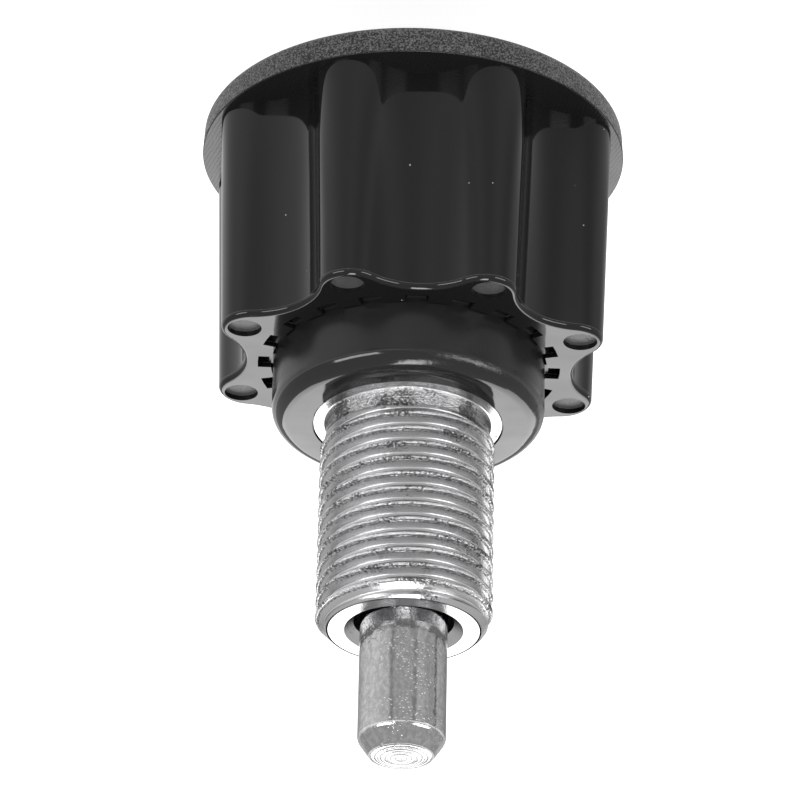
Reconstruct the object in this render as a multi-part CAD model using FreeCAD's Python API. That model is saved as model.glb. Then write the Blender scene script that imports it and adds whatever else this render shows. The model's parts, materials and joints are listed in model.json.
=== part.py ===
import FreeCAD, Part
import math
import os

# Pull knob with a spring plunger and a threaded barrel, in millimetres.
# The origin is the centre of the cap's flat face, and +Z runs along the axis to the plunger's tip.

# Cap
CAP_HEIGHT = 2.95
CAP_RIM_RADIUS = 19.65
CAP_FACE_RADIUS = 19.5
CAP_EDGE_ROUND = 1.0
CAP_PLATE = 1.3
SKIRT_WALL = 1.5
SKIRT_DEPTH = 3.0
SNAP_BEAD_RISE = 0.25
SNAP_BEAD_HEIGHT = 0.8
SKIRT_CLEARANCE = 0.08

# Fluted knob
KNOB_HEIGHT = 21.85
LOBE_COUNT = 8
LOBE_TIP_RADIUS = 18.45
LOBE_END_RADIUS = 2.9
FLUTE_ROOT_RADIUS = 15.1
KNOB_DRAFT_DEG = 2.0
KNOB_EDGE_ROUND = 0.45
MARK_CIRCLE_RADIUS = 16.44
MARK_RADIUS = 1.545
MARK_DEPTH = 0.5
CORE_CIRCLE_RADIUS = 15.9
CORE_RADIUS = 1.4
CORE_FLOOR = 3.0
RECESS_RADIUS = 13.9
RECESS_DEPTH = 4.45
WEB_THICKNESS = 3.6
RIB_COUNT = 8
RIB_WIDTH = 1.2
RIB_DROP = 1.0
HUB_WALL = 1.6
HUB_ROOM = 0.6

# Spline between knob and collar
SPLINE_COUNT = 20
GROOVE_WIDTH = 2.05
KNOB_BORE_RADIUS = 12.62
GROOVE_FLOOR_RADIUS = 13.83
SPLINE_TIP_CLEARANCE = 0.2
SPLINE_SIDE_CLEARANCE = 0.12
COLLAR_CLEARANCE = 0.2
SPLINE_END_LAND = 0.35
SPLINE_LEAD_IN = 1.8
SPLINE_SET_BACK = 0.4

# Collar
COLLAR_STAND_OUT = 6.0
COLLAR_END_ROUND = 1.6
COLLAR_REST_GAP = 1.0
COLLAR_MOUTH_RADIUS = 8.9
COLLAR_MOUTH_DEPTH = 3.0
FLANGE_GAP = 0.15
FLANGE_GAP_DEPTH = 0.4

# Threaded barrel
FLANGE_RADIUS = 8.55
FLANGE_RECESS = 0.1
FLANGE_THICKNESS = 3.0
HEAD_ACROSS_FLATS = 14.4
BARREL_REACH = 20.6
NECK_RADIUS = 7.4
NECK_LENGTH = 2.1
NECK_ROUND = 0.35
THREAD_RADIUS = 7.93
END_CHAMFER = 1.0
SPRING_BORE_RADIUS = 5.0
LIP_THICKNESS = 4.0
LIP_BORE_RADIUS = 4.5
COUNTERSINK_RADIUS = 5.32

# Bush that closes the barrel's spring bore
BUSH_SEAT_RADIUS = 5.6
BUSH_DEPTH = 4.0
BUSH_FLANGE_RADIUS = 6.4
BUSH_FLANGE_THICKNESS = 1.2
SHANK_CLEARANCE = 0.05

# Plunger pin
NOSE_RADIUS = 3.92
PIN_REACH = 12.4
TIP_CHAMFER_LENGTH = 1.5
TIP_FACE_RADIUS = 2.9
TIP_DOME_RISE = 0.3
SHOULDER_LENGTH = 5.0
SHOULDER_CLEARANCE = 0.07
SHOULDER_CHAMFER = 0.3
SHANK_RADIUS = 3.0
STUD_RADIUS = 2.5
STUD_END_GAP = 0.3

# Spring
WIRE_RADIUS = 0.5
SPRING_MEAN_RADIUS = 4.0
SPRING_ACTIVE_TURNS = 7
SPRING_END_TURN_GAP = 0.1

# Nut, its nylon locking ring and the two washers
NUT_ACROSS_FLATS = 8.0
NUT_HEIGHT = 3.6
NUT_CROWN_HEIGHT = 1.1
NUT_CROWN_RADIUS = 3.7
NUT_CHAMFER = 0.4
LOCK_RING_HEIGHT = 0.9
WASHER_RADIUS = 5.0
WASHER_THICKNESS = 0.8
STUD_HOLE_CLEARANCE = 0.1

# Heights along the axis
Z_RIM = CAP_HEIGHT
Z_WEB_TOP = Z_RIM + RECESS_DEPTH
Z_WEB = Z_WEB_TOP + WEB_THICKNESS
Z_KNOB_END = Z_RIM + KNOB_HEIGHT
Z_COLLAR_START = Z_WEB + COLLAR_REST_GAP
Z_COLLAR_END = Z_KNOB_END + COLLAR_STAND_OUT
Z_FLANGE = Z_COLLAR_END - FLANGE_RECESS
Z_HEAD_END = Z_FLANGE - FLANGE_THICKNESS
Z_BARREL_START = Z_COLLAR_START + COLLAR_MOUTH_DEPTH
Z_BARREL_END = Z_FLANGE + BARREL_REACH
Z_THREAD = Z_FLANGE + NECK_LENGTH
Z_LIP = Z_BARREL_END - LIP_THICKNESS
Z_BUSH_END = Z_BARREL_START + BUSH_DEPTH
Z_SHOULDER = Z_LIP - SHOULDER_LENGTH
Z_TIP = Z_BARREL_END + PIN_REACH
Z_TIP_FACE = Z_TIP - TIP_DOME_RISE
Z_NUT_SEAT = Z_WEB_TOP - WASHER_THICKNESS
Z_SHANK_START = Z_WEB + WASHER_THICKNESS
Z_NUT_TOP = Z_NUT_SEAT - NUT_HEIGHT - NUT_CROWN_HEIGHT
Z_STUD_END = Z_NUT_TOP + STUD_END_GAP

STUD_HOLE_RADIUS = STUD_RADIUS + STUD_HOLE_CLEARANCE
SKIRT_RADIUS = RECESS_RADIUS - SKIRT_CLEARANCE
HUB_INNER_RADIUS = WASHER_RADIUS + HUB_ROOM
CUT_MARGIN = 1.0

AXIS = FreeCAD.Vector(0, 0, 1)
ORIGIN = FreeCAD.Vector(0, 0, 0)


def rod(radius, z0, z1):
    """A cylinder on the axis between two heights."""
    return Part.makeCylinder(radius, z1 - z0, FreeCAD.Vector(0, 0, z0), AXIS)


def turned(outline):
    """Turns an outline of (radius, height) points about the axis."""
    points = [FreeCAD.Vector(radius, 0, height) for radius, height in outline]
    face = Part.Face(Part.makePolygon(points + points[:1]))
    return face.revolve(ORIGIN, AXIS, 360)


def ring_edges(solid, radius, height):
    """The round edges of a turned solid that have the given radius and height."""
    found = []
    for edge in solid.Edges:
        if not isinstance(edge.Curve, Part.Circle):
            continue
        centre = edge.Curve.Center
        on_axis = math.hypot(centre.x, centre.y) < 1e-6
        if on_axis and abs(edge.Curve.Radius - radius) < 1e-6 and abs(centre.z - height) < 1e-6:
            found.append(edge)
    return found


def hexagon(across_flats, z0, z1):
    """A hexagonal bar on the axis, with two flats facing +X and -X."""
    corner = across_flats / 2 / math.cos(math.pi / 6)
    angles = [math.pi / 6 + i * math.pi / 3 for i in range(6)]
    points = [FreeCAD.Vector(corner * math.cos(a), corner * math.sin(a), z0) for a in angles]
    face = Part.Face(Part.makePolygon(points + points[:1]))
    return face.extrude(FreeCAD.Vector(0, 0, z1 - z0))


def around(solid, count, first_deg=0.0):
    """Copies of a solid, evenly spaced about the axis."""
    copies = []
    for i in range(count):
        copy = solid.copy()
        copy.rotate(ORIGIN, AXIS, first_deg + i * 360.0 / count)
        copies.append(copy)
    return copies


def one_solid(shape):
    """The single solid that a cut or a fusion leaves, with split faces joined again."""
    return shape.removeSplitter().Solids[0]


def polar(radius, angle, height):
    return FreeCAD.Vector(radius * math.cos(angle), radius * math.sin(angle), height)


def drafted_wall(centre, low_radius, high_radius, middle, half_sweep):
    """The conical wall round a centre, between the cap and the open end, to each side of a direction."""
    wedge = Part.makeCone(low_radius, high_radius, KNOB_HEIGHT, centre, AXIS, math.degrees(2 * half_sweep))
    wedge.rotate(centre, AXIS, math.degrees(middle - half_sweep))
    return [face for face in wedge.Faces if isinstance(face.Surface, Part.Cone)][0]


def fluted_walls():
    """Convex lobe ends and concave flutes that meet smoothly, all with the same draft.

    The flute's centre and radius follow from the lobe's, so that the two arcs are tangent.
    """
    half_step = math.pi / LOBE_COUNT
    spread = KNOB_HEIGHT * math.tan(math.radians(KNOB_DRAFT_DEG))
    lobe_centre = LOBE_TIP_RADIUS - LOBE_END_RADIUS
    inner = FLUTE_ROOT_RADIUS - LOBE_END_RADIUS
    flute_centre = (lobe_centre ** 2 - inner ** 2) / (2 * (lobe_centre * math.cos(half_step) - inner))
    flute_radius = flute_centre - FLUTE_ROOT_RADIUS
    across = flute_centre * math.sin(half_step)
    lobe_sweep = math.atan2(across, flute_centre * math.cos(half_step) - lobe_centre)
    flute_sweep = lobe_sweep - half_step
    walls = []
    for i in range(LOBE_COUNT):
        lobe_axis = -math.pi / 2 + (2 * i + 1) * half_step
        flute_axis = lobe_axis + half_step
        lobe = polar(lobe_centre, lobe_axis, Z_RIM)
        flute = polar(flute_centre, flute_axis, Z_RIM)
        walls.append(drafted_wall(lobe, LOBE_END_RADIUS + spread, LOBE_END_RADIUS, lobe_axis, lobe_sweep))
        walls.append(drafted_wall(flute, flute_radius - spread, flute_radius, flute_axis + math.pi, flute_sweep))
    return walls


def edges_at_height(shape, height):
    return [e for e in shape.Edges if all(abs(v.Z - height) < 1e-6 for v in e.Vertexes)]


def fluted_block():
    """The drafted outside of the knob, with a rounded edge at its open end."""
    walls = fluted_walls()
    ends = []
    for height in (Z_RIM, Z_KNOB_END):
        edges = edges_at_height(Part.makeCompound(walls), height)
        ends.append(Part.Face(Part.Wire(Part.sortEdges(edges)[0])))
    block = Part.makeSolid(Part.makeShell(walls + ends))
    return block.makeFillet(KNOB_EDGE_ROUND, edges_at_height(block, Z_KNOB_END))


def spline_bar(width, inner, outer, z0, z1):
    """One straight-sided bar that points along -Y, for a groove or a tooth."""
    corner = FreeCAD.Vector(-width / 2, -outer - CUT_MARGIN, z0)
    return Part.makeBox(width, outer + CUT_MARGIN - inner, z1 - z0, corner)


def knob_hub():
    """The ring round the nut, with ribs that stiffen the web towards the knob's wall."""
    top = Z_RIM + RIB_DROP
    hub_radius = HUB_INNER_RADIUS + HUB_WALL
    reach = SKIRT_RADIUS - SKIRT_WALL - CUT_MARGIN / 2
    corner = FreeCAD.Vector(hub_radius - HUB_WALL / 2, -RIB_WIDTH / 2, top)
    rib = Part.makeBox(reach - corner.x, RIB_WIDTH, Z_WEB_TOP - top, corner)
    hub = rod(hub_radius, top, Z_WEB_TOP)
    return hub.multiFuse(around(rib, RIB_COUNT)).cut(rod(HUB_INNER_RADIUS, top - CUT_MARGIN, Z_WEB_TOP))


def make_knob_body():
    """The moulded knob: grooved bore on the barrel's side, cored recess under the cap."""
    half_step_deg = 180.0 / LOBE_COUNT
    bead_radius = RECESS_RADIUS + SNAP_BEAD_RISE
    bead_low = Z_RIM + SKIRT_DEPTH - SNAP_BEAD_HEIGHT
    groove = spline_bar(GROOVE_WIDTH, KNOB_BORE_RADIUS - CUT_MARGIN, GROOVE_FLOOR_RADIUS, Z_WEB,
                        Z_KNOB_END + CUT_MARGIN)
    groove = groove.common(rod(GROOVE_FLOOR_RADIUS, Z_WEB, Z_KNOB_END + CUT_MARGIN))
    mark = rod(MARK_RADIUS, Z_KNOB_END - MARK_DEPTH, Z_KNOB_END + CUT_MARGIN)
    mark.translate(FreeCAD.Vector(0, -MARK_CIRCLE_RADIUS, 0))
    core = rod(CORE_RADIUS, Z_RIM - CUT_MARGIN, Z_KNOB_END - CORE_FLOOR)
    core.translate(FreeCAD.Vector(0, -CORE_CIRCLE_RADIUS, 0))
    body = fluted_block()
    body = body.cut(rod(KNOB_BORE_RADIUS, Z_WEB, Z_KNOB_END + CUT_MARGIN))
    body = body.cut(rod(RECESS_RADIUS, Z_RIM - CUT_MARGIN, Z_WEB_TOP))
    body = body.cut(rod(bead_radius, bead_low - SKIRT_CLEARANCE, Z_RIM + SKIRT_DEPTH + SKIRT_CLEARANCE))
    body = body.fuse(knob_hub())
    body = body.cut(rod(STUD_HOLE_RADIUS, Z_WEB_TOP - CUT_MARGIN, Z_WEB + CUT_MARGIN))
    cutters = around(groove, SPLINE_COUNT)
    cutters += around(mark, LOBE_COUNT, half_step_deg)
    cutters += around(core, LOBE_COUNT, half_step_deg)
    return one_solid(body.cut(cutters))


def make_knob_cap():
    """The overhanging disc, with a skirt that snaps into the knob's recess."""
    skirt_end = Z_RIM + SKIRT_DEPTH
    skirt_inner = SKIRT_RADIUS - SKIRT_WALL
    bead_radius = SKIRT_RADIUS + SNAP_BEAD_RISE
    bead_slope = SNAP_BEAD_HEIGHT / 4
    cap = turned([
        (0, 0),
        (CAP_FACE_RADIUS, 0),
        (CAP_RIM_RADIUS, Z_RIM),
        (SKIRT_RADIUS, Z_RIM),
        (SKIRT_RADIUS, skirt_end - SNAP_BEAD_HEIGHT),
        (bead_radius, skirt_end - SNAP_BEAD_HEIGHT + bead_slope),
        (bead_radius, skirt_end - bead_slope),
        (SKIRT_RADIUS, skirt_end),
        (skirt_inner, skirt_end),
        (skirt_inner, CAP_PLATE),
        (0, CAP_PLATE),
    ])
    return cap.makeFillet(CAP_EDGE_ROUND, ring_edges(cap, CAP_FACE_RADIUS, 0))


def make_collar():
    """The collar moulded on the barrel's head, with spline teeth on the part inside the knob."""
    collar_radius = KNOB_BORE_RADIUS - COLLAR_CLEARANCE
    tooth_tip = GROOVE_FLOOR_RADIUS - SPLINE_TIP_CLEARANCE
    tooth_end = Z_KNOB_END - SPLINE_SET_BACK
    body = rod(collar_radius, Z_COLLAR_START, Z_COLLAR_END)
    body = body.makeFillet(COLLAR_END_ROUND, ring_edges(body, collar_radius, Z_COLLAR_END))
    envelope = turned([
        (0, Z_COLLAR_START),
        (tooth_tip, Z_COLLAR_START),
        (tooth_tip, tooth_end - SPLINE_LEAD_IN),
        (collar_radius + SPLINE_END_LAND, tooth_end),
        (0, tooth_end),
    ])
    tooth = spline_bar(GROOVE_WIDTH - 2 * SPLINE_SIDE_CLEARANCE, collar_radius - CUT_MARGIN, tooth_tip,
                       Z_COLLAR_START, tooth_end)
    body = body.multiFuse(around(tooth.common(envelope), SPLINE_COUNT))
    body = body.cut(rod(FLANGE_RADIUS, Z_HEAD_END, Z_COLLAR_END + CUT_MARGIN))
    body = body.cut(rod(FLANGE_RADIUS + FLANGE_GAP, Z_COLLAR_END - FLANGE_GAP_DEPTH, Z_COLLAR_END + CUT_MARGIN))
    body = body.cut(hexagon(HEAD_ACROSS_FLATS, Z_BARREL_START, Z_HEAD_END))
    return one_solid(body.cut(rod(COLLAR_MOUTH_RADIUS, Z_COLLAR_START - CUT_MARGIN, Z_BARREL_START)))


def make_threaded_barrel():
    """The steel barrel: hexagonal head in the collar, flange, neck, thread length, spring bore."""
    countersink = COUNTERSINK_RADIUS - LIP_BORE_RADIUS
    head = hexagon(HEAD_ACROSS_FLATS, Z_BARREL_START, Z_HEAD_END)
    stem = turned([
        (0, Z_HEAD_END),
        (FLANGE_RADIUS, Z_HEAD_END),
        (FLANGE_RADIUS, Z_FLANGE),
        (NECK_RADIUS, Z_FLANGE),
        (NECK_RADIUS, Z_THREAD - (THREAD_RADIUS - NECK_RADIUS)),
        (THREAD_RADIUS, Z_THREAD),
        (THREAD_RADIUS, Z_BARREL_END - END_CHAMFER),
        (THREAD_RADIUS - END_CHAMFER, Z_BARREL_END),
        (0, Z_BARREL_END),
    ])
    stem = stem.makeFillet(NECK_ROUND, ring_edges(stem, NECK_RADIUS, Z_FLANGE))
    bore = turned([
        (0, Z_BARREL_START - CUT_MARGIN),
        (BUSH_SEAT_RADIUS, Z_BARREL_START - CUT_MARGIN),
        (BUSH_SEAT_RADIUS, Z_BUSH_END),
        (SPRING_BORE_RADIUS, Z_BUSH_END),
        (SPRING_BORE_RADIUS, Z_LIP),
        (LIP_BORE_RADIUS, Z_LIP),
        (LIP_BORE_RADIUS, Z_BARREL_END - countersink),
        (COUNTERSINK_RADIUS, Z_BARREL_END),
        (COUNTERSINK_RADIUS, Z_BARREL_END + CUT_MARGIN),
        (0, Z_BARREL_END + CUT_MARGIN),
    ])
    return one_solid(head.fuse(stem).cut(bore))


def make_spring_bush():
    """The bush pressed into the barrel: it backs the spring and guides the plunger's shank."""
    bore = SHANK_RADIUS + SHANK_CLEARANCE
    low = Z_BARREL_START - BUSH_FLANGE_THICKNESS
    return turned([
        (bore, low),
        (BUSH_FLANGE_RADIUS, low),
        (BUSH_FLANGE_RADIUS, Z_BARREL_START),
        (BUSH_SEAT_RADIUS, Z_BARREL_START),
        (BUSH_SEAT_RADIUS, Z_BUSH_END),
        (bore, Z_BUSH_END),
    ])


def make_plunger_pin():
    """The plunger: stud for the nut, shank, guided shoulder, plain nose with a domed tip."""
    shoulder = SPRING_BORE_RADIUS - SHOULDER_CLEARANCE
    dome_radius = (TIP_FACE_RADIUS ** 2 + TIP_DOME_RISE ** 2) / (2 * TIP_DOME_RISE)
    pin = turned([
        (0, Z_STUD_END),
        (STUD_RADIUS, Z_STUD_END),
        (STUD_RADIUS, Z_SHANK_START),
        (SHANK_RADIUS, Z_SHANK_START),
        (SHANK_RADIUS, Z_SHOULDER),
        (shoulder - SHOULDER_CHAMFER, Z_SHOULDER),
        (shoulder, Z_SHOULDER + SHOULDER_CHAMFER),
        (shoulder, Z_LIP),
        (NOSE_RADIUS, Z_LIP),
        (NOSE_RADIUS, Z_TIP_FACE - TIP_CHAMFER_LENGTH),
        (TIP_FACE_RADIUS, Z_TIP_FACE),
        (TIP_FACE_RADIUS, Z_TIP + CUT_MARGIN),
        (0, Z_TIP + CUT_MARGIN),
    ])
    dome = Part.makeSphere(dome_radius, FreeCAD.Vector(0, 0, Z_TIP - dome_radius))
    return one_solid(pin.common(dome.fuse(rod(2 * shoulder, Z_STUD_END - CUT_MARGIN, Z_TIP_FACE))))


def make_return_spring():
    """The coil spring between bush and shoulder, with its two ends ground flat.

    Each half turn is half a ring, tilted so that it climbs half a pitch and meets the next in one line.
    The turn at each end is closed: it climbs by little more than the wire's thickness.
    """
    end_pitch = 2 * WIRE_RADIUS + SPRING_END_TURN_GAP
    pitch = (Z_SHOULDER - Z_BUSH_END - 2 * end_pitch) / SPRING_ACTIVE_TURNS
    end_turn = [end_pitch / 2] * 2
    halves = []
    height = Z_BUSH_END
    for climb in end_turn + [pitch / 2] * (2 * SPRING_ACTIVE_TURNS) + end_turn:
        ring_radius = math.hypot(SPRING_MEAN_RADIUS, climb / 2)
        half = Part.makeTorus(ring_radius, WIRE_RADIUS, ORIGIN, AXIS, 0, 360, 180)
        half.rotate(ORIGIN, FreeCAD.Vector(0, 1, 0), math.degrees(math.atan2(climb / 2, SPRING_MEAN_RADIUS)))
        half.rotate(ORIGIN, AXIS, 180 * len(halves))
        half.translate(FreeCAD.Vector(0, 0, height + climb / 2))
        halves.append(half)
        height += climb
    coil = halves[0].multiFuse(halves[1:])
    return one_solid(coil.common(rod(2 * SPRING_MEAN_RADIUS, Z_BUSH_END, Z_SHOULDER)))


def make_knob_nut():
    """The lock nut on the stud: a hexagon with a round crown that holds the nylon ring."""
    crown_end = Z_NUT_SEAT - NUT_HEIGHT
    corner = NUT_ACROSS_FLATS / 2 / math.cos(math.pi / 6)
    envelope = turned([
        (0, Z_NUT_SEAT),
        (corner - NUT_CHAMFER, Z_NUT_SEAT),
        (corner, Z_NUT_SEAT - NUT_CHAMFER),
        (corner, crown_end + NUT_CHAMFER),
        (NUT_CROWN_RADIUS, crown_end),
        (NUT_CROWN_RADIUS, Z_NUT_TOP),
        (0, Z_NUT_TOP),
    ])
    ring_low = Z_NUT_TOP + (NUT_CROWN_HEIGHT - LOCK_RING_HEIGHT)
    blank = hexagon(NUT_ACROSS_FLATS, Z_NUT_TOP, Z_NUT_SEAT).common(envelope)
    blank = blank.cut(rod(STUD_RADIUS, Z_NUT_TOP - CUT_MARGIN, Z_NUT_SEAT + CUT_MARGIN))
    return one_solid(blank.cut(rod(lock_ring_radius(), ring_low, ring_low + LOCK_RING_HEIGHT)))


def lock_ring_radius():
    """The ring lies in a groove half way into the crown's wall."""
    return (STUD_RADIUS + NUT_CROWN_RADIUS) / 2


def make_lock_ring():
    """The nylon ring that grips the stud's thread."""
    low = Z_NUT_TOP + (NUT_CROWN_HEIGHT - LOCK_RING_HEIGHT)
    high = low + LOCK_RING_HEIGHT
    return rod(lock_ring_radius(), low, high).cut(rod(STUD_RADIUS, low - CUT_MARGIN, high + CUT_MARGIN))


def washer(low):
    blank = rod(WASHER_RADIUS, low, low + WASHER_THICKNESS)
    return blank.cut(rod(STUD_HOLE_RADIUS, low - CUT_MARGIN, low + WASHER_THICKNESS + CUT_MARGIN))


def make_nut_washer():
    return washer(Z_NUT_SEAT)


def make_shank_washer():
    return washer(Z_WEB)


def main():
    os.makedirs("parts", exist_ok=True)
    pieces = {
        "knob_body": make_knob_body,
        "knob_cap": make_knob_cap,
        "spline_collar": make_collar,
        "threaded_barrel": make_threaded_barrel,
        "spring_bush": make_spring_bush,
        "plunger_pin": make_plunger_pin,
        "return_spring": make_return_spring,
        "knob_nut": make_knob_nut,
        "nut_lock_ring": make_lock_ring,
        "nut_washer": make_nut_washer,
        "shank_washer": make_shank_washer,
    }
    for name, make in pieces.items():
        solid = make()
        solid.exportStep(os.path.join("parts", name + ".step"))
        print(name, "valid" if solid.isValid() else "not valid", round(solid.Volume, 2))


main()
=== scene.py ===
import json
import math

import bmesh
import bpy
from bpy.props import FloatProperty, FloatVectorProperty, IntProperty, PointerProperty
from mathutils import Matrix, Vector


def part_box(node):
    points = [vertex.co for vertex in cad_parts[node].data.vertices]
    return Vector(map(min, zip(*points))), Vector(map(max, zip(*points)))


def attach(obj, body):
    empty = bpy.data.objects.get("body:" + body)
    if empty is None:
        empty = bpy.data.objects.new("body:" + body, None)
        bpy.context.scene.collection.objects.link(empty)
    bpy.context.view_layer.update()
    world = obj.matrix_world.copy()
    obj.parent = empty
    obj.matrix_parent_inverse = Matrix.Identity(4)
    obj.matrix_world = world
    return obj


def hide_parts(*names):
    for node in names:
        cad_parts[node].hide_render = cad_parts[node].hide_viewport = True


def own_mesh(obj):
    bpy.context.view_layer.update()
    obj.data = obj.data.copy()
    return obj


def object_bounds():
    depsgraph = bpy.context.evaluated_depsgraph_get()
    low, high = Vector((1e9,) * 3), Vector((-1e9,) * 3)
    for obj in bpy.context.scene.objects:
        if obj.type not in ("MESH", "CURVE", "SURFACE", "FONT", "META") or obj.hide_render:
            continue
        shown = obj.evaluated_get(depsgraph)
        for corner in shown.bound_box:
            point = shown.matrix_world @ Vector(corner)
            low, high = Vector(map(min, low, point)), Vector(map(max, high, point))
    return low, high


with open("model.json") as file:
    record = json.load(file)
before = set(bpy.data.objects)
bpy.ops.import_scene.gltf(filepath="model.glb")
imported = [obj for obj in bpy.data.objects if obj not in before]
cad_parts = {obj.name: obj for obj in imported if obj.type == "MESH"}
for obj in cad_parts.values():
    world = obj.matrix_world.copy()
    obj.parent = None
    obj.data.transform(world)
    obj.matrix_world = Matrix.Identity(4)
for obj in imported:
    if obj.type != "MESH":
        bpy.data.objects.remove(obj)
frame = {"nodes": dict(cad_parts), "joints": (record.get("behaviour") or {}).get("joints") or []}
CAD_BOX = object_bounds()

bl_info = {
    "name": "Fluted pull knob",
    "version": (1, 0, 0),
    "blender": (4, 5, 0),
    "location": "3D View > Sidebar > Knob",
    "description": "Builds the look of a fluted pull knob with a threaded barrel and a spring plunger",
    "category": "Object",
}

MM = 0.001
UP = Vector((0, 0, 1))
CENTRE = Vector((0, 0, 0))
FULL_TURN = 2 * math.pi

# Points this near are joined, and heights this near count as one
WELD = 1e-7
NEAR = 1e-6
# Darker look of plated metal at a grazing angle
EDGE_TINT = (0.45, 0.45, 0.45, 1)
# Darker sectors of the reflection card, in degrees from the camera's side: from, to, drop
CARD_SECTORS = ((-100, -94, 0.15), (-37, -27, 0.42), (-27, 23, 0.22), (23, 33, 0.4), (33, 58, 0.06),
                (58, 84, 0.16), (87, 93, 0.6))

# Low and high corners of the parts
CAP_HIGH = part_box("knob_cap")[1]
KNOB_LOW, KNOB_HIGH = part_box("knob_body")
COLLAR_LOW, COLLAR_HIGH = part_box("spline_collar")
BARREL_LOW, BARREL_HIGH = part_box("threaded_barrel")
PIN_LOW, PIN_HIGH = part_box("plunger_pin")
SPRING_LOW, SPRING_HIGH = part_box("return_spring")
BUSH_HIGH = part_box("spring_bush")[1]
NUT_WASHER_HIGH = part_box("nut_washer")[1]
SHANK_WASHER_LOW, SHANK_WASHER_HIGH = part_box("shank_washer")


def length(title, about, millimetres):
    """A size that a user may change, shown in scene units."""
    return FloatProperty(name=title, description=about, default=millimetres * MM, unit="LENGTH", precision=5)


def colour(title, about, rgb):
    """A finish colour that a user may change."""
    return FloatVectorProperty(name=title, description=about, default=rgb, subtype="COLOR", size=3,
                               min=0, max=1)


class KnobSizes(bpy.types.PropertyGroup):
    lobes: IntProperty(name="Lobes", description="Number of lobes round the knob", default=8, min=3)
    lobe_tip: length("Lobe tip radius", "From the axis to a lobe's tip at the open end", 18.45)
    lobe_end: length("Lobe end radius", "Radius of a lobe's rounded end", 2.9)
    flute_root: length("Flute root radius", "From the axis to the bottom of a flute", 15.1)
    draft: FloatProperty(name="Draft", description="Slope of the knob's wall", default=math.radians(2),
                         subtype="ANGLE")
    edge_round: length("Edge round", "Round between the wall and the open end", 0.45)
    mark_circle: length("Mark circle radius", "From the axis to the round marks on the open end", 16.44)
    mark: length("Mark radius", "Radius of a round mark", 1.545)
    mark_depth: length("Mark depth", "Depth of a round mark", 0.5)
    core_circle: length("Core circle radius", "From the axis to the blind holes under the cap", 15.9)
    core: length("Core radius", "Radius of a blind hole under the cap", 1.4)
    core_floor: length("Core floor", "Material left between a blind hole and the open end", 3.0)
    recess: length("Recess radius", "Radius of the recess under the cap", 13.9)
    hub_wall: length("Hub wall", "Wall of the ring round the nut", 1.6)
    hub_room: length("Hub room", "Space between the washer and the ring round the nut", 0.6)
    hub_drop: length("Hub drop", "From the cap's seat to the ring round the nut", 1.0)
    rib: length("Rib width", "Width of a rib between the ring and the recess wall", 1.2)
    rib_reach: length("Rib reach", "From the axis to the outer end of a rib", 11.82)
    stud_hole: length("Stud hole radius", "Radius of the hole for the stud", 2.6)


class SplineSizes(bpy.types.PropertyGroup):
    count: IntProperty(name="Teeth", description="Number of teeth and grooves", default=20, min=3)
    groove: length("Groove width", "Width of a groove in the knob", 2.05)
    bore: length("Bore radius", "Radius of the knob's bore", 12.62)
    floor: length("Groove floor radius", "From the axis to a groove's floor", 13.83)
    side: length("Side clearance", "Between a tooth and a groove's side", 0.12)
    land: length("End land", "Height of a tooth's end face above the collar", 0.35)
    lead_in: length("Lead-in", "Length of the slope at a tooth's end", 1.8)
    set_back: length("Set-back", "From the knob's open end to a tooth's end", 0.4)


class CollarSizes(bpy.types.PropertyGroup):
    radius: length("Radius", "Radius of the collar", 12.42)
    end_round: length("End round", "Round at the collar's outer end", 1.6)
    mouth: length("Mouth radius", "Radius of the opening on the knob's side", 8.9)
    gap: length("Flange gap", "Thin gap round the steel flange", 0.15)
    gap_depth: length("Flange gap depth", "Depth of the gap round the steel flange", 0.4)


class BarrelSizes(bpy.types.PropertyGroup):
    flange_recess: length("Flange recess", "From the collar's face down to the flange's face", 0.1)
    flange_thickness: length("Flange thickness", "Thickness of the flange", 3.0)
    across_flats: length("Across flats", "Width of the hexagonal head inside the collar", 14.4)
    neck: length("Neck radius", "Radius of the plain neck", 7.4)
    neck_length: length("Neck length", "From the flange to the thread's full height", 2.1)
    neck_round: length("Neck round", "Round between neck and flange", 0.35)
    thread: length("Thread radius", "Outer radius of the thread", 7.93)
    pitch: length("Pitch", "Pitch of the thread", 1.5)
    thread_depth: length("Thread depth", "Depth of the thread", 0.86)
    end_chamfer: length("End chamfer", "Chamfer at the barrel's end", 1.0)
    spring_bore: length("Spring bore radius", "Radius of the bore that holds the spring", 5.0)
    lip: length("Lip thickness", "Thickness of the lip that stops the plunger", 4.0)
    lip_bore: length("Lip bore radius", "Radius of the bore through the lip", 4.5)
    countersink: length("Countersink radius", "Radius of the countersink at the barrel's end", 5.32)
    bush_seat: length("Bush seat radius", "Radius of the seat for the bush", 5.6)


class PinSizes(bpy.types.PropertyGroup):
    nose: length("Nose radius", "Radius of the plunger's nose", 3.92)
    tip_chamfer: length("Tip chamfer length", "Length of the chamfer at the tip", 1.5)
    tip_face: length("Tip face radius", "Radius of the tip's domed face", 2.9)
    dome: length("Dome rise", "Rise of the domed face", 0.3)
    shoulder: length("Shoulder length", "Length of the shoulder inside the barrel", 5.0)
    shoulder_gap: length("Shoulder clearance", "Between the shoulder and the spring bore", 0.07)
    shank: length("Shank radius", "Radius of the shank through the spring", 3.0)
    stud: length("Stud radius", "Radius of the threaded stud", 2.5)
    wire: length("Wire radius", "Radius of the spring's wire", 0.5)
    coil: length("Coil radius", "Mean radius of the spring", 4.0)
    active_turns: IntProperty(name="Active turns", description="Turns of the spring between its closed ends",
                              default=7, min=1)
    end_gap: length("End turn gap", "Space left between the closed turns at each end", 0.1)


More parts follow.
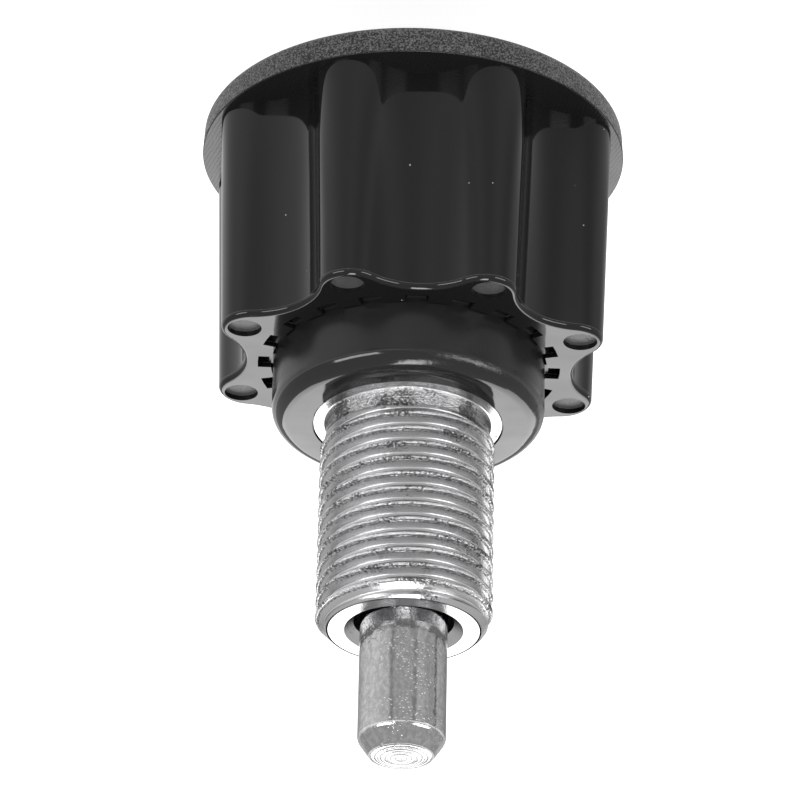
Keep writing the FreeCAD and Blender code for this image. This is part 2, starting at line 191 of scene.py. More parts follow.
class FinishColours(bpy.types.PropertyGroup):
    knob: colour("Knob", "Glossy black of the knob", (0.007, 0.007, 0.0075))
    cap: colour("Cap", "Grained dark grey of the cap", (0.04, 0.04, 0.04))
    collar: colour("Collar", "Glossy black of the collar", (0.012, 0.012, 0.012))
    zinc: colour("Zinc", "Bright plating of the barrel", (0.6, 0.6, 0.605))
    chrome: colour("Chrome", "Polished plating of the plunger", (0.5, 0.5, 0.505))
    steel: colour("Steel", "Plain turned steel inside", (0.55, 0.55, 0.56))
    nylon: colour("Nylon", "Locking ring of the nut", (0.1, 0.2, 0.55))
    floor: colour("Floor", "Pale floor", (0.6, 0.6, 0.6))


class StageSettings(bpy.types.PropertyGroup):
    lens: FloatProperty(name="Lens", description="Focal length of the camera in millimetres", default=219.495)
    sky: FloatProperty(name="Sky", description="Brightness of the grey surroundings", default=0.6, min=0)
    rear_light: FloatProperty(name="Rear light", description="Brightness of the large soft box behind",
                              default=3.7, min=0)
    front_light: FloatProperty(name="Front lights", description="Brightness of the soft boxes at the front",
                               default=9.0, min=0)
    top_light: FloatProperty(name="Top light", description="Brightness of the soft box above",
                             default=12.6, min=0)
    floor_lift: FloatProperty(name="Floor lift", description="White that the floor adds for the camera",
                              default=0.72, min=0, max=1)
    floor_room: length("Floor room", "From the floor to the cap's face when the knob is pulled", 0.5)


# Shader expressions


class Signal:
    """A shader socket that adds Math nodes when it is used in an expression."""

    def __init__(self, shader, socket):
        self.shader = shader
        self.socket = socket

    def _with(self, operation, *values):
        return self.shader.node("ShaderNodeMath", {"operation": operation}, dict(enumerate(values)))

    def __add__(self, other):
        return self._with("ADD", self, other)

    def __radd__(self, other):
        return self._with("ADD", other, self)

    def __sub__(self, other):
        return self._with("SUBTRACT", self, other)

    def __rsub__(self, other):
        return self._with("SUBTRACT", other, self)

    def __mul__(self, other):
        return self._with("MULTIPLY", self, other)

    def __rmul__(self, other):
        return self._with("MULTIPLY", other, self)

    def __lt__(self, other):
        return self._with("LESS_THAN", self, other)

    def sine(self):
        return self._with("SINE", self)

    def magnitude(self):
        return self._with("ABSOLUTE", self)

    def root(self):
        return self._with("SQRT", self)

    def clamped(self):
        return self.shader.node("ShaderNodeClamp", {}, {"Value": self})

    def step(self, low, high):
        """Rises smoothly from 0 at low to 1 at high."""
        return self.shader.node("ShaderNodeMapRange", {"interpolation_type": "SMOOTHSTEP"},
                                {"Value": self, "From Min": low, "From Max": high})


class Shader:
    """Builds one material's nodes."""

    def __init__(self, name):
        self.material = bpy.data.materials.new(name)
        self.material.use_nodes = True
        self.tree = self.material.node_tree
        self.tree.nodes.clear()

    def node(self, kind, settings, values, output=0):
        """Adds a node: its settings first, then the values or links of its sockets."""
        made = self.tree.nodes.new(kind)
        for key, value in settings.items():
            setattr(made, key, value)
        for key, value in values.items():
            if isinstance(value, Signal):
                self.tree.links.new(value.socket, made.inputs[key])
            else:
                made.inputs[key].default_value = value
        return Signal(self, made.outputs[output]) if made.outputs else None

    def place(self, scale=(1, 1, 1)):
        """The point on the object in millimetres, stretched by a scale."""
        point = self.node("ShaderNodeTexCoord", {}, {}, "Object")
        stretch = tuple(s / MM for s in scale)
        return self.node("ShaderNodeMapping", {"vector_type": "POINT"}, {"Vector": point, "Scale": stretch})

    def axes(self):
        """The point's x, y and z in millimetres."""
        split = self.node("ShaderNodeSeparateXYZ", {}, {"Vector": self.place()}).socket.node
        return [Signal(self, socket) for socket in split.outputs]

    def noise(self, scale, detail=3.0, stretch=(1, 1, 1), roughness=0.5):
        values = {"Vector": self.place(stretch), "Scale": scale, "Detail": detail, "Roughness": roughness}
        return self.node("ShaderNodeTexNoise", {}, values)

    def cells(self, scale):
        """Distance to the nearest of scattered points."""
        return self.node("ShaderNodeTexVoronoi", {"feature": "F1"}, {"Vector": self.place(), "Scale": scale})

    def blend(self, factor, first, second):
        """Mixes two colours; the numbers are the places of the node's colour sockets."""
        first, second = [value if isinstance(value, Signal) else rgba(value) for value in (first, second)]
        return self.node("ShaderNodeMix", {"data_type": "RGBA"}, {0: factor, 6: first, 7: second}, 2)

    def bump(self, height, millimetres, strength=1.0, under=None):
        values = {"Height": height, "Distance": millimetres * MM, "Strength": strength}
        if under:
            values["Normal"] = under
        return self.node("ShaderNodeBump", {}, values)

    def finish(self, **values):
        """Ends the material in a Principled surface with the given socket values."""
        named = {key.replace("_", " "): value for key, value in values.items()}
        return self.covered(self.node("ShaderNodeBsdfPrincipled", {}, named))

    def glow(self, level):
        """White light of a given level."""
        return self.node("ShaderNodeEmission", {}, {"Color": level})

    def covered(self, surface):
        """Ends the material in a given surface."""
        self.node("ShaderNodeOutputMaterial", {}, {"Surface": surface})
        return self.material


def rgba(rgb):
    return (*rgb, 1)


def tinted(rgb, factor):
    return tuple(min(1, channel * factor) for channel in rgb)


# Mesh helpers


def add_circle(bm, radius, z, segments, centre=(0, 0)):
    """A ring of edges."""
    place = Matrix.Translation((centre[0], centre[1], z))
    made = bmesh.ops.create_circle(bm, segments=segments, radius=radius, matrix=place)
    return list({edge for vert in made["verts"] for edge in vert.link_edges})


def add_hexagon(bm, across_flats, z):
    """A hexagon of edges with flats towards +X and -X."""
    return add_circle(bm, across_flats / 2 / math.cos(math.pi / 6), z, 6)


def add_wire(bm, points):
    """Joins (radius, height) points with edges, out along +X."""
    verts = [bm.verts.new((radius, 0, height)) for radius, height in points]
    for pair in zip(verts, verts[1:]):
        bm.edges.new(pair)
    return verts


def round_corner(bm, vert, radius, segments=8):
    """Rounds one corner of a wire."""
    first, second = [(edge.other_vert(vert).co - vert.co).normalized() for edge in vert.link_edges]
    offset = radius / math.tan(first.angle(second) / 2)
    made = bmesh.ops.bevel(bm, geom=[vert], offset=offset, offset_type="OFFSET", segments=segments,
                           profile=0.5, affect="VERTICES", material=-1)
    return made["verts"]


def turn(bm, verts, segments, full=FULL_TURN, centre=CENTRE, merge=True):
    """Spins a wire about the vertical through a centre."""
    edges = {edge for vert in verts for edge in vert.link_edges}
    bmesh.ops.spin(bm, geom=list(verts) + list(edges), cent=centre, axis=UP, dvec=(0, 0, 0), angle=full,
                   steps=segments, use_merge=merge, use_duplicate=False)


def turned(bm, points, rounds, segments):
    """Spins a closed or open profile; rounds are (index, radius) pairs of its corners."""
    verts = add_wire(bm, points)
    kept = set(verts)
    for index, radius in rounds:
        corner = verts[index]
        kept.discard(corner)
        kept.update(round_corner(bm, corner, radius))
    turn(bm, [vert for vert in kept if vert.is_valid], segments)


def only(kind, items):
    """The vertices, edges or faces among mixed items."""
    return [item for item in items if isinstance(item, kind)]


def whole(bm):
    """All of a mesh."""
    return bm.verts[:] + bm.edges[:] + bm.faces[:]


def rim_at(bm, height):
    """The open edges at a height."""
    return [edge for edge in bm.edges if edge.is_boundary and abs(edge.verts[0].co.z - height) < NEAR]


def fill(bm, edges):
    """Fills a flat region with holes, and keeps its border sharp."""
    made = bmesh.ops.triangle_fill(bm, use_beauty=True, use_dissolve=False, edges=edges, normal=UP)
    for edge in edges:
        edge.smooth = False
    return only(bmesh.types.BMFace, made["geom"])


def draw_down(bm, edges, drop):
    """Extrudes a ring of edges along Z and gives the new ring."""
    made = bmesh.ops.extrude_edge_only(bm, edges=edges)
    verts = only(bmesh.types.BMVert, made["geom"])
    bmesh.ops.translate(bm, verts=verts, vec=(0, 0, drop))
    fresh = set(verts)
    return [edge for edge in only(bmesh.types.BMEdge, made["geom"]) if set(edge.verts) <= fresh]


def add_prism(bm, rings, height):
    """A closed prism: fills rings of edges at one level and extrudes them."""
    faces = fill(bm, [edge for ring in rings for edge in ring])
    made = bmesh.ops.extrude_face_region(bm, geom=faces, use_keep_orig=True)
    bmesh.ops.translate(bm, verts=only(bmesh.types.BMVert, made["geom"]), vec=(0, 0, height))


def trim(bm, low, high, close=False):
    """Cuts off what lies below and above two heights, and closes the cuts where that is asked."""
    for height, normal in ((low, (0, 0, -1)), (high, UP)):
        made = bmesh.ops.bisect_plane(bm, geom=whole(bm), plane_co=(0, 0, height), plane_no=normal,
                                      clear_outer=True)
        if close:
            bmesh.ops.holes_fill(bm, edges=only(bmesh.types.BMEdge, made["geom_cut"]), sides=0)


def add_block(bm, low, high):
    """A box between two corners."""
    low, high = Vector(low), Vector(high)
    size = Matrix.Diagonal((*(high - low), 1))
    return bmesh.ops.create_cube(bm, size=1, matrix=Matrix.Translation((low + high) / 2) @ size)["verts"]


def shell(verts):
    """The verts with their edges and faces."""
    geom = set(verts)
    for vert in verts:
        geom.update(vert.link_edges)
        geom.update(vert.link_faces)
    return list(geom)


def repeat(bm, verts, count):
    """Adds copies of a closed shell evenly round the axis."""
    geom = shell(verts)
    for index in range(1, count):
        made = bmesh.ops.duplicate(bm, geom=geom)
        bmesh.ops.rotate(bm, verts=only(bmesh.types.BMVert, made["geom"]), cent=CENTRE,
                         matrix=Matrix.Rotation(index * FULL_TURN / count, 3, "Z"))


def draw_in(vert, radius):
    """Moves a vertex to a radius from the axis."""
    vert.co.xy *= radius / vert.co.xy.length


def add_shell(bm, other):
    """Adds one mesh to another and frees it."""
    carrier = bpy.data.meshes.new("carrier")
    other.to_mesh(carrier)
    other.free()
    bm.from_mesh(carrier)
    bpy.data.meshes.remove(carrier)


def add_object(name, bm, material):
    """Makes a finished mesh an object of the scene."""
    mesh = bpy.data.meshes.new(name)
    bm.to_mesh(mesh)
    bm.free()
    made = bpy.data.objects.new(name, mesh)
    bpy.context.scene.collection.objects.link(made)
    mesh.materials.append(material)
    return made


def piece(name, bm, body, slot, material, *nodes, crease=math.radians(28)):
    """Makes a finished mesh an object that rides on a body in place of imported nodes."""
    bmesh.ops.remove_doubles(bm, verts=bm.verts, dist=WELD)
    bmesh.ops.recalc_face_normals(bm, faces=bm.faces)
    for face in bm.faces:
        face.smooth = True
    for edge in bm.edges:
        if len(edge.link_faces) != 2 or edge.calc_face_angle() > crease:
            edge.smooth = False
    made = add_object(name, bm, material)
    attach(made, body)
    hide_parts(*nodes)
    return made


# Finishes


def knob_finish(colours, mark_floor):
    """Glossy moulded black with a faint waviness and a few grains of dust; the marks' floors are matte."""
    shader = Shader("knob_gloss")
    z = shader.axes()[2]
    wave = shader.noise(0.12, 2.0, (1, 1, 0.3))
    fine = shader.noise(2.5, 5.0, roughness=0.65)
    dust = shader.cells(0.4) < 0.028
    floors = (z - mark_floor / MM).magnitude() < 0.02
    tone = shader.blend(dust, tuple(colours.knob), (0.4, 0.4, 0.4))
    grain = shader.noise(4.5, 3.0, roughness=0.7)
    tone = shader.blend(floors, tone, tinted(colours.cap, 1.7))
    rough = 0.03 + 0.05 * wave + 0.5 * dust + floors * 0.18
    normal = shader.bump(wave, 0.25, 0.6)
    normal = shader.bump(fine * 0.04 + floors * grain * 1.6, 0.06, 0.8, normal)
    return shader.finish(Base_Color=tone, Roughness=rough, Normal=normal, IOR=1.4)


def cap_finish(colours, rim):
    """Dark grey with a fine spark-eroded grain outside, its tone carrying painted light and shade of the
    grain's relief; glossy with faint drawn lines above the rim.
    """
    shader = Shader("cap_grain")
    x, y, z = shader.axes()
    smooth = z.step(rim / MM - 0.12, rim / MM - 0.06)
    grain = shader.noise(5.5, 2.0, roughness=0.7)
    cloud = shader.noise(0.22, 3.0)
    drawn = (x * 17.0 - y * 5.0 + shader.noise(0.8, 3.0) * 7.0).sine()
    # Painted light and shade of the grain: lighter on its raised points and darker between them, over a
    # cloudy tone
    grain_and_painted_shading = (grain.step(0.46, 0.58) * 0.9 + cloud * 0.5 - 0.25).clamped()
    tone = shader.blend(grain_and_painted_shading, tinted(colours.cap, 0.1), tinted(colours.cap, 3.6))
    tone = shader.blend(smooth, tone, tuple(colours.knob))
    rough = 0.36 + 0.15 * cloud - smooth * (0.16 + 0.05 * drawn)
    normal = shader.bump(grain * (1.0 - smooth), 0.4, 1.0)
    return shader.finish(Base_Color=tone, Roughness=rough, Normal=normal, IOR=1.38)


def collar_finish(colours, end):
    """Glossy black, a little uneven, with scuffs on the round below its outer end."""
    shader = Shader("collar_gloss")
    x, _, z = shader.axes()
    above = z - end / MM
    wave = shader.noise(0.15, 2.0)
    scuff = shader.noise(1.6, 5.0, roughness=0.65)
    on_round = above.step(-1.9, -1.3) * (1.0 - above.step(-0.5, -0.1))
    rough = 0.06 + 0.06 * wave + 0.16 * (1.0 - above.step(-2.4, -1.5))
    normal = shader.bump(wave, 0.2, 0.5)
    normal = shader.bump(scuff * (0.05 + on_round * (1.0 - x.step(-1.5, 3.5))), 0.07, 0.8, normal)
    return shader.finish(Base_Color=rgba(colours.collar), Roughness=rough, Normal=normal, IOR=1.42)


def zinc_finish(colours, thread, thread_start):
    """Bright plating on a rolled thread, with tool lines, darker mottling that is denser on the crests and
    the neck, and painted dark reflections in dashes along the crests' edges.
    """
    shader = Shader("zinc_plating")
    x, y, z = shader.axes()
    outward = (x * x + y * y).root() - thread / MM
    along = z - thread_start / MM
    threaded = along.step(-0.3, 0.2)
    crest = outward.step(-0.21, -0.07) * threaded
    crest_edge = outward.step(-0.43, -0.33) * (1.0 - outward.step(-0.13, -0.05)) * threaded
    neck = (1.0 - outward.step(-0.48, -0.33)) * (1.0 - along.step(-0.5, -0.3))
    speck = shader.noise(4.2, 5.0, (1, 1, 1.6), roughness=0.7)
    cloud = shader.noise(0.3, 3.0)
    # Darker mottling at random, denser on the crests and on the neck
    dark_mottle = (speck * 0.7 + cloud * 0.6 + 0.1 * crest + 0.12 * neck).step(0.74, 0.86)
    # Painted dark reflections: dashes of darker colour along the crests' edges
    painted_edge_reflections = crest_edge * speck.step(0.44, 0.56)
    tone = shader.blend((dark_mottle + 0.75 * painted_edge_reflections).clamped(), tuple(colours.zinc), tinted(colours.zinc, 0.16))
    lines = shader.noise(1.0, 3.0, (0.05, 0.05, 9.0))
    rough = 0.13 + 0.12 * speck + 0.06 * lines
    normal = shader.bump(speck * (0.15 + crest + neck), 0.12, 0.8)
    normal = shader.bump(lines, 0.02, 0.6, normal)
    return shader.finish(Base_Color=tone, Roughness=rough, Metallic=1.0, Normal=normal,
                         Specular_Tint=EDGE_TINT)


def pin_finish(colours, sizes, face):
    """Polished plating with fine pits, lengthwise polishing marks, and painted shade on the turned rings of
    the domed face and round its edge.
    """
    shader = Shader("pin_chrome")
    x, y, z = shader.axes()
    above = z - face / MM
    chamfer = -sizes.tip_chamfer / MM
    rim = sizes.tip_face / MM
    pits = shader.noise(2.8, 5.0, (1, 1, 0.7), roughness=0.7)
    marks = shader.noise(1.2, 3.0, (1, 1, 0.04))
    tone = shader.blend(pits.step(0.35, 0.7), tinted(colours.chrome, 0.8), tinted(colours.chrome, 1.15))
    radius = (x * x + y * y).root() + 0.12 * shader.noise(0.8, 2.0)
    # Painted shade: darker rings over the turned grooves of the domed face, and a darker ring at the face's
    # rounded edge
    painted_ring_shade = (radius * 14.0).sine().step(0.35, 0.9) + radius.step(rim - 0.08, rim)
    tone = shader.blend((painted_ring_shade * above.step(-0.02, 0)).clamped(), tone, tinted(colours.chrome, 0.4))
    dimples = shader.cells(3.0).step(0.1, 0.4) * shader.noise(0.4, 2.0).step(0.4, 0.6)
    normal = shader.bump(pits * (1.0 + 1.5 * above.step(chamfer - 0.2, chamfer + 0.2)), 0.012, 0.8)
    normal = shader.bump(dimples, 0.018, 0.9, normal)
    normal = shader.bump(marks, 0.02, 0.5, normal)
    return shader.finish(Base_Color=tone, Roughness=0.03 + 0.04 * pits, Metallic=1.0, Normal=normal,
                         Specular_Tint=EDGE_TINT)


def inner_steel_finish(colours, name):
    """Turned steel with fine lines round the axis."""
    shader = Shader(name)
    lines = shader.noise(1.0, 3.0, (0.1, 0.1, 12.0))
    speck = shader.noise(4.0, 4.0)
    tone = shader.blend(speck, tinted(colours.steel, 0.8), tinted(colours.steel, 1.2))
    return shader.finish(Base_Color=tone, Roughness=0.28 + 0.15 * lines, Metallic=1.0,
                         Normal=shader.bump(lines, 0.01, 0.6))


def nylon_finish(colours):
    """Slightly cloudy nylon."""
    shader = Shader("nylon_ring")
    cloud = shader.noise(2.0, 3.0)
    tone = shader.blend(cloud, tinted(colours.nylon, 0.8), tinted(colours.nylon, 1.2))
    return shader.finish(Base_Color=tone, Roughness=0.45 + 0.1 * cloud, Normal=shader.bump(cloud, 0.02, 0.4))


def card_finish(start=88, end=94, border=2):
    """A card that metal mirrors; between two radii in millimetres its darker, ragged sectors set in."""
    shader = Shader("reflection_card")
    x, y, _ = shader.axes()
    ragged = shader.noise(0.5, 4.0, roughness=0.7) * 16.0 - 8.0
    angle = shader.node("ShaderNodeMath", {"operation": "ARCTAN2"}, {0: x * -1.0, 1: y * -1.0})
    angle = angle * math.degrees(1)
    far = (x * x + y * y).root().step(start, end)
    level = 1.05 - 0.22 * angle.step(-95, -40) - 0.1 * angle.step(20, 60)
    level = level - (0.2 * angle.step(-40, -15) + 0.08 * (angle * 0.14).sine()) * (1.0 - far)
    angle = angle + ragged
    for low, high, drop in CARD_SECTORS:
        level = level - drop * far * angle.step(low, low + border) * (1.0 - angle.step(high, high + border))
    return shader.covered(shader.glow(level))


def floor_finish(colours, lift):
    """Pale floor that shows as white to the camera and in reflections, and keeps the shadow."""
    shader = Shader("pale_floor")
    surface = shader.node("ShaderNodeBsdfDiffuse", {}, {"Color": rgba(colours.floor)})
    camera, glossy, through = [shader.node("ShaderNodeLightPath", {}, {}, f"Is {ray} Ray")
                               for ray in ("Camera", "Glossy", "Transmission")]
    seen = (camera + glossy + through).clamped()
    return shader.covered(shader.node("ShaderNodeAddShader", {}, {0: surface, 1: shader.glow(seen * lift)}))


# Pieces


class KNOB_OT_body(bpy.types.Operator):
    """Build the fluted knob with its grooved bore and the recess under the cap"""
    bl_idname = "knob.body"
    bl_label = "Fluted knob"

    def execute(self, context):
        sizes = context.scene.knob_sizes
        spline = context.scene.spline_sizes
        bm = bmesh.new()
        top, low = KNOB_HIGH.z, KNOB_LOW.z
        web_top = SHANK_WASHER_LOW.z
        web_low = NUT_WASHER_HIGH.z
        half_step = math.pi / sizes.lobes
        lobe_angles = [-math.pi / 2 + (2 * index + 1) * half_step for index in range(sizes.lobes)]
        self.add_wall(bm, sizes, top, low, half_step, lobe_angles)
        top_rim = rim_at(bm, top)
        low_rim = rim_at(bm, low)

        marks = [self.ring_at(bm, sizes.mark, sizes.mark_circle, angle, top, 48) for angle in lobe_angles]
        bore = self.grooved_ring(bm, spline, top)
        fill(bm, top_rim + bore + [edge for ring in marks for edge in ring])
        for ring in marks:
            fill(bm, draw_down(bm, ring, -sizes.mark_depth))
        bore_floor = draw_down(bm, bore, web_top - top)
        stud_hole = add_circle(bm, sizes.stud_hole, web_top, 64)
        fill(bm, bore_floor + stud_hole)
        stud_end = draw_down(bm, stud_hole, web_low - web_top)

        cores = [self.ring_at(bm, sizes.core, sizes.core_circle, angle, low, 32) for angle in lobe_angles]
        recess = add_circle(bm, sizes.recess, low, 160)
        fill(bm, low_rim + recess + [edge for ring in cores for edge in ring])
        for ring in cores:
            fill(bm, draw_down(bm, ring, top - sizes.core_floor - low))
        fill(bm, draw_down(bm, recess, web_low - low) + stud_end)
        self.add_hub(bm, sizes, low + sizes.hub_drop, web_low)
        finish = knob_finish(context.scene.finish_colours, top - sizes.mark_depth)
        piece("fluted_knob", bm, "knob", "knob_plastic", finish, "knob_body")
        return {"FINISHED"}

    def add_wall(self, bm, sizes, top, low, half_step, lobe_angles):
        """The drafted wall with its rounded edge, as lobes and flutes that meet smoothly."""
        spread = (top - low) * math.tan(sizes.draft)
        lobe_centre = sizes.lobe_tip - sizes.lobe_end
        inner = sizes.flute_root - sizes.lobe_end
        flute_centre = (lobe_centre ** 2 - inner ** 2) / (2 * (lobe_centre * math.cos(half_step) - inner))
        flute_radius = flute_centre - sizes.flute_root
        across = flute_centre * math.sin(half_step)
        lobe_sweep = math.atan2(across, flute_centre * math.cos(half_step) - lobe_centre)
        flute_sweep = lobe_sweep - half_step
        for lobe_axis in lobe_angles:
            self.add_arc(bm, sizes, top, low, lobe_centre, lobe_axis, lobe_axis, sizes.lobe_end,
                         spread, lobe_sweep)
            flute_axis = lobe_axis + half_step
            self.add_arc(bm, sizes, top, low, flute_centre, flute_axis, flute_axis + math.pi, -flute_radius,
                         spread, flute_sweep)
        bmesh.ops.remove_doubles(bm, verts=bm.verts, dist=WELD)

    def add_arc(self, bm, sizes, top, low, distance, axis, middle, radius, spread, half_sweep, segments=26):
        """Spins the wall's section about a lobe's or a flute's own centre; a flute's radius is negative."""
        inward = sizes.edge_round
        profile = [(abs(radius - inward), top), (abs(radius), top), (abs(radius + spread), low)]
        wire = add_wire(bm, profile)
        verts = [wire[0], wire[2]] + list(round_corner(bm, wire[1], self.corner_radius(sizes)))
        centre = Vector((distance * math.cos(axis), distance * math.sin(axis), 0))
        bmesh.ops.rotate(bm, verts=verts, cent=CENTRE, matrix=Matrix.Rotation(middle - half_sweep, 3, "Z"))
        bmesh.ops.translate(bm, verts=verts, vec=centre)
        turn(bm, verts, segments, 2 * half_sweep, centre, merge=False)

    def corner_radius(self, sizes, share=0.999):
        """The round that takes nearly all of the wire's short leg."""
        return sizes.edge_round * share * math.tan((math.pi / 2 + sizes.draft) / 2)

    def ring_at(self, bm, radius, distance, angle, z, segments):
        return add_circle(bm, radius, z, segments, (distance * math.cos(angle), distance * math.sin(angle)))

    def grooved_ring(self, bm, spline, z):
        """The outline of the bore with its straight-sided grooves."""
        half = spline.groove / 2
        step = FULL_TURN / spline.count
        start = math.asin(half / spline.bore)
        corner = math.asin(half / spline.floor)
        stops = []
        for index in range(spline.count):
            middle = -math.pi / 2 + index * step
            stops += [(spline.bore, middle - start), (spline.floor, middle - corner), (spline.floor, middle),
                      (spline.floor, middle + corner), (spline.bore, middle + start)]
            stops += [(spline.bore, middle + start + (step - 2 * start) * share / 4) for share in (1, 2, 3)]
        points = [(radius * math.cos(angle), radius * math.sin(angle), z) for radius, angle in stops]
        verts = [bm.verts.new(point) for point in points]
        return [bm.edges.new(pair) for pair in zip(verts, verts[1:] + verts[:1])]

    def add_hub(self, bm, sizes, low, high):
        """The ring round the nut and its ribs, under the web."""
        inner = NUT_WASHER_HIGH.x + sizes.hub_room
        outer = inner + sizes.hub_wall
        add_prism(bm, [add_circle(bm, inner, low, 64), add_circle(bm, outer, low, 96)], high - low)
        half = sizes.rib / 2
        rib = add_block(bm, (outer - half, -half, low), (sizes.rib_reach, half, high))
        repeat(bm, rib, sizes.lobes)


class KNOB_OT_cap(bpy.types.Operator):
    """Build the grained cap that overhangs the knob"""
    bl_idname = "knob.cap"
    bl_label = "Cap"

    face: length("Face radius", "Radius of the flat outer face before its edge is rounded", 19.5)
    rim_height: length("Rim height", "From the outer face to the rim's inner edge", 2.95)
    edge_round: length("Edge round", "Round at the outer face's edge", 1.0)
    rim_break: length("Rim break", "Tiny round at the rim's inner edge", 0.1)
    plate: length("Plate", "Thickness of the cap's plate", 1.3)
    skirt: length("Skirt radius", "Outer radius of the skirt inside the knob", 13.82)
    skirt_wall: length("Skirt wall", "Wall of the skirt", 1.5)
    bead: length("Bead rise", "Rise of the snap bead on the skirt", 0.25)

    def execute(self, context):
        bm = bmesh.new()
        end = CAP_HIGH.z
        rim = CAP_HIGH.x
        bead_out = self.skirt + self.bead
        bead_length = 0.8 * MM
        bead_low = end - bead_length
        slope = 0.2 * MM
        turned(bm, [
            (0, 0), (self.face, 0), (rim, self.rim_height), (self.skirt, self.rim_height),
            (self.skirt, bead_low), (bead_out, bead_low + slope), (bead_out, end - slope), (self.skirt, end),
            (self.skirt - self.skirt_wall, end), (self.skirt - self.skirt_wall, self.plate), (0, self.plate),
        ], [(1, self.edge_round), (2, self.rim_break)], 256)
        finish = cap_finish(context.scene.finish_colours, self.rim_height)
        piece("grained_cap", bm, "knob", "cap_plastic", finish, "knob_cap")
        return {"FINISHED"}


class KNOB_OT_collar(bpy.types.Operator):
    """Build the black collar with its spline teeth"""
    bl_idname = "knob.collar"
    bl_label = "Splined collar"

    def execute(self, context):
        sizes = context.scene.collar_sizes
        spline = context.scene.spline_sizes
        barrel = context.scene.barrel_sizes
        bm = bmesh.new()
        low, high = COLLAR_LOW.z, COLLAR_HIGH.z
        flange = BARREL_HIGH.x
        gap_floor = high - sizes.gap_depth
        head_top = high - barrel.flange_recess - barrel.flange_thickness
        turned(bm, [
            (sizes.mouth, low), (sizes.radius, low), (sizes.radius, high), (flange + sizes.gap, high),
            (flange + sizes.gap, gap_floor), (flange, gap_floor), (flange, head_top),
        ], [(2, sizes.end_round)], 224)
        seat = rim_at(bm, head_top)
        mouth = rim_at(bm, low)
        hexagon = add_hexagon(bm, barrel.across_flats, head_top)
        fill(bm, seat + hexagon)
        fill(bm, draw_down(bm, hexagon, BARREL_LOW.z - head_top) + draw_down(bm, mouth, BARREL_LOW.z - low))
        self.add_teeth(bm, sizes, spline)
        finish = collar_finish(context.scene.finish_colours, high)
        piece("moulded_collar", bm, "barrel", "collar_plastic", finish, "spline_collar")
        return {"FINISHED"}

    def add_teeth(self, bm, sizes, spline):
        """Straight teeth with a sloped lead-in, rooted in the collar."""
        half = spline.groove / 2 - spline.side
        tip = COLLAR_HIGH.x
        tooth_end = KNOB_HIGH.z - spline.set_back
        tooth = add_block(bm, (-half, -tip, COLLAR_LOW.z), (half, -sizes.radius + spline.land, tooth_end))
        outer_end = [vert for vert in tooth if vert.co.y < -tip + NEAR and vert.co.z > COLLAR_LOW.z + NEAR]
        cut = bmesh.ops.bisect_plane(bm, geom=shell(tooth), plane_co=(0, 0, tooth_end - spline.lead_in),
                                     plane_no=UP)
        for vert in outer_end:
            vert.co.y = -(sizes.radius + spline.land)
        repeat(bm, tooth + only(bmesh.types.BMVert, cut["geom_cut"]), spline.count)


